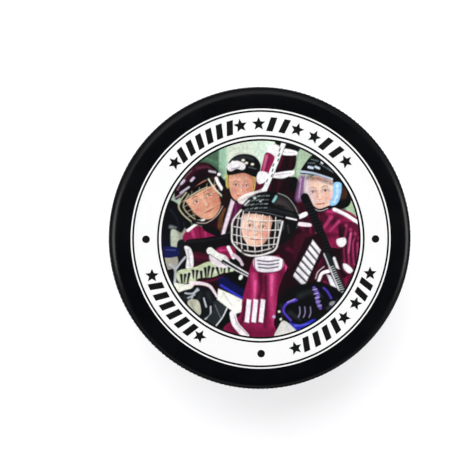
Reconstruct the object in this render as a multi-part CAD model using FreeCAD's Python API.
"""Ice hockey puck with a printed round label on its upper face.

The puck lies flat. Its origin is the centre of the lower face, +Z is its axis and points out of the
labelled face, and +Y is the way up of the label. All lengths are in millimetres, all angles in degrees.
"""

import FreeCAD, Part
import math
import os

from FreeCAD import Placement, Rotation, Vector

# Rubber body. A regulation puck is 3 inches across and 1 inch thick.
INCH = 25.4
PUCK_RADIUS = 1.5 * INCH            # over the peaks of the grip band
PUCK_THICKNESS = 1.0 * INCH
EDGE_RADIUS = 2.0                   # rounding between a face and the side
LIP_HEIGHT = 1.0                    # plain lip between the rounding and the grip band
LIP_DRAFT = 0.05                    # how far the lip widens towards the grip band
GRIP_DEPTH = 0.35                   # height of the grip band above the lip's outer edge
LIP_RADIUS = PUCK_RADIUS - GRIP_DEPTH
LIP_END = EDGE_RADIUS + LIP_HEIGHT
GRIP_START = LIP_END + GRIP_DEPTH - LIP_DRAFT   # the band's ends slope at 45 degrees

# Raised marks in the grip band, each a smooth pad in a shallow moat. They stand in equal groups.
SIDE_MARK_HEIGHT = 6.4
SIDE_MARK_PITCH = 8.4               # degrees
SIDE_MARKS_PER_GROUP = 8
SIDE_GROUP_ANGLES = (90.0, 270.0)
MOAT_WIDTH = 0.6
MOAT_REACH = 2.0                    # extra height of the cutting prisms, half of it past the band

# Label: adhesive, white film, ink and clear laminate, from the rubber up.
LABEL_RADIUS = 32.4
ADHESIVE_INSET = 0.1
ADHESIVE_THICKNESS = 0.03
FILM_THICKNESS = 0.10
INK_THICKNESS = 0.02
LAMINATE_THICKNESS = 0.05
FILM_BOTTOM = PUCK_THICKNESS + ADHESIVE_THICKNESS
INK_BOTTOM = FILM_BOTTOM + FILM_THICKNESS
LAMINATE_BOTTOM = INK_BOTTOM + INK_THICKNESS

# Print. The white band lies between the two border lines, and the picture inside the inner ones.
LINE_WIDTH = 0.47
OUTER_LINE_RADIUS = 31.8            # middle of each line
BAND_LINE_RADIUS = 25.65
PICTURE_LINE_RADIUS = 24.65
PICTURE_RADIUS = PICTURE_LINE_RADIUS - LINE_WIDTH / 2
MARK_CIRCLE_RADIUS = 28.6
DOT_RADIUS = 0.95
MARK_HEIGHT = 3.5

# Groups of printed marks: the angles of a group's first and last mark, and how many marks it has.
# The upper marks stand with their feet to the centre, the lower ones with their feet outwards.
UPPER_GROUPS = ((138.6, 100.4, 8), (91.3, 71.8, 4), (62.6, 42.4, 4))
LOWER_LEFT_GROUPS = ((198.4, 237.6, 8),)
LOWER_RIGHT_GROUPS = ((287.5, 316.5, 6), (325.6, 342.4, 4))

# Shapes of one mark, as shares of its height. Printed bars are bolder than raised ones.
SIDE_BAR_WIDTH = 0.38
PRINTED_BAR_WIDTH = 0.46
BAR_SLANT = 0.26                    # how far the head leans past the foot
STAR_POINTS = 5
STAR_WAIST = 0.45                   # inner radius over outer radius


def disc(radius, bottom, thickness):
    return Part.makeCylinder(radius, thickness, Vector(0, 0, bottom))


def ring(middle_radius, width, bottom, thickness):
    outer = disc(middle_radius + width / 2, bottom, thickness)
    return outer.cut(disc(middle_radius - width / 2, bottom, thickness))


def bar_outline(height, width_share):
    """Slanted bar about the origin, standing along +Y."""
    half_height = height / 2
    half_width = width_share * half_height
    lean = BAR_SLANT * half_height
    return [
        Vector(-half_width - lean, -half_height),
        Vector(half_width - lean, -half_height),
        Vector(half_width + lean, half_height),
        Vector(-half_width + lean, half_height),
    ]


def star_outline(height):
    """Star about the origin, with one point along +Y."""
    points = []
    for i in range(2 * STAR_POINTS):
        radius = height / 2 if i % 2 == 0 else STAR_WAIST * height / 2
        angle = math.radians(90 + 180 / STAR_POINTS * i)
        points.append(Vector(radius * math.cos(angle), radius * math.sin(angle)))
    return points


def mark_outline(index, count, height, bar_width):
    """A group begins and ends with a star and has bars between."""
    if index in (0, count - 1):
        return star_outline(height)
    return bar_outline(height, bar_width)


def prism(outline, depth):
    face = Part.Face(Part.makePolygon(outline + outline[:1]))
    return face.extrude(Vector(0, 0, depth))


def lower_half_section():
    """Half section of the lower half of the body in the XZ plane, with the axis as one side."""
    corner = LIP_RADIUS - EDGE_RADIUS
    on_arc = EDGE_RADIUS * math.sin(math.radians(45))
    middle = PUCK_THICKNESS / 2
    face_edge = Vector(corner, 0, 0)
    arc_middle = Vector(corner + on_arc, 0, EDGE_RADIUS - on_arc)
    arc_end = Vector(LIP_RADIUS, 0, EDGE_RADIUS)
    side = Part.makePolygon(
        [
            arc_end,
            Vector(LIP_RADIUS + LIP_DRAFT, 0, LIP_END),
            Vector(PUCK_RADIUS, 0, GRIP_START),
            Vector(PUCK_RADIUS, 0, middle),
            Vector(0, 0, middle),
            Vector(0, 0, 0),
            face_edge,
        ]
    )
    rounding = Part.Arc(face_edge, arc_middle, arc_end).toShape()
    return Part.Face(Part.Wire(side.Edges + [rounding]))


def side_mark_moat(outline, angle):
    """The moat round one raised mark, cut into the grip band at an angle about the axis."""
    pad = Part.makePolygon(outline + outline[:1])
    moat = Part.Face(pad.makeOffset2D(MOAT_WIDTH, 2)).cut(Part.Face(pad))
    depth = GRIP_DEPTH + MOAT_REACH
    cutter = moat.extrude(Vector(0, 0, depth))
    # The outline's X runs round the puck, its Y up the side and its Z outwards.
    stand_up = Placement(Vector(0, 0, 0), Rotation(Vector(0, 1, 0), Vector(0, 0, 1), Vector(1, 0, 0)))
    move_out = Placement(Vector(LIP_RADIUS - MOAT_REACH / 2, 0, PUCK_THICKNESS / 2), Rotation())
    turn = Placement(Vector(0, 0, 0), Rotation(Vector(0, 0, 1), angle))
    cutter.Placement = turn.multiply(move_out).multiply(stand_up)
    return cutter.cut(disc(LIP_RADIUS, 0, PUCK_THICKNESS))


def make_rubber_body():
    lower_half = lower_half_section().revolve(Vector(0, 0, 0), Vector(0, 0, 1), 360)
    upper_half = lower_half.mirror(Vector(0, 0, PUCK_THICKNESS / 2), Vector(0, 0, 1))
    body = lower_half.fuse(upper_half).removeSplitter()
    middle = (SIDE_MARKS_PER_GROUP - 1) / 2
    for group_angle in SIDE_GROUP_ANGLES:
        for i in range(SIDE_MARKS_PER_GROUP):
            outline = mark_outline(i, SIDE_MARKS_PER_GROUP, SIDE_MARK_HEIGHT, SIDE_BAR_WIDTH)
            angle = group_angle + (i - middle) * SIDE_MARK_PITCH
            body = body.cut(side_mark_moat(outline, angle))
    return body


def spot_on_band(angle):
    """Middle of the white band at an angle, on the film."""
    turn = math.radians(angle)
    return Vector(MARK_CIRCLE_RADIUS * math.cos(turn), MARK_CIRCLE_RADIUS * math.sin(turn), INK_BOTTOM)


def make_marks(groups, feet_out=False):
    """Printed marks standing round the band, one solid each."""
    solids = []
    for first, last, count in groups:
        for i in range(count):
            angle = first + (last - first) * i / (count - 1)
            upright = angle + 90 if feet_out else angle - 90
            mark = prism(mark_outline(i, count, MARK_HEIGHT, PRINTED_BAR_WIDTH), INK_THICKNESS)
            mark.Placement = Placement(spot_on_band(angle), Rotation(Vector(0, 0, 1), upright))
            solids.append(mark)
    return Part.makeCompound(solids)


def make_dot(angle):
    return Part.makeCylinder(DOT_RADIUS, INK_THICKNESS, spot_on_band(angle))


PARTS = {
    "rubber_body": make_rubber_body(),
    "label_adhesive": disc(LABEL_RADIUS - ADHESIVE_INSET, PUCK_THICKNESS, ADHESIVE_THICKNESS),
    "label_film": disc(LABEL_RADIUS, FILM_BOTTOM, FILM_THICKNESS),
    "team_picture": disc(PICTURE_RADIUS, INK_BOTTOM, INK_THICKNESS),
    "picture_border_line": ring(PICTURE_LINE_RADIUS, LINE_WIDTH, INK_BOTTOM, INK_THICKNESS),
    "band_inner_line": ring(BAND_LINE_RADIUS, LINE_WIDTH, INK_BOTTOM, INK_THICKNESS),
    "band_outer_line": ring(OUTER_LINE_RADIUS, LINE_WIDTH, INK_BOTTOM, INK_THICKNESS),
    "left_dot": make_dot(180),
    "right_dot": make_dot(0),
    "bottom_dot": make_dot(270),
    "upper_marks": make_marks(UPPER_GROUPS),
    "lower_left_marks": make_marks(LOWER_LEFT_GROUPS, feet_out=True),
    "lower_right_marks": make_marks(LOWER_RIGHT_GROUPS, feet_out=True),
    "label_laminate": disc(LABEL_RADIUS, LAMINATE_BOTTOM, LAMINATE_THICKNESS),
}

os.makedirs("parts", exist_ok=True)
for name, shape in PARTS.items():
    shape.exportStep(f"parts/{name}.step")
    state = "valid" if shape.isValid() else "NOT VALID"
    print(name, state, len(shape.Solids), "solids", round(shape.Volume, 2), "mm3")
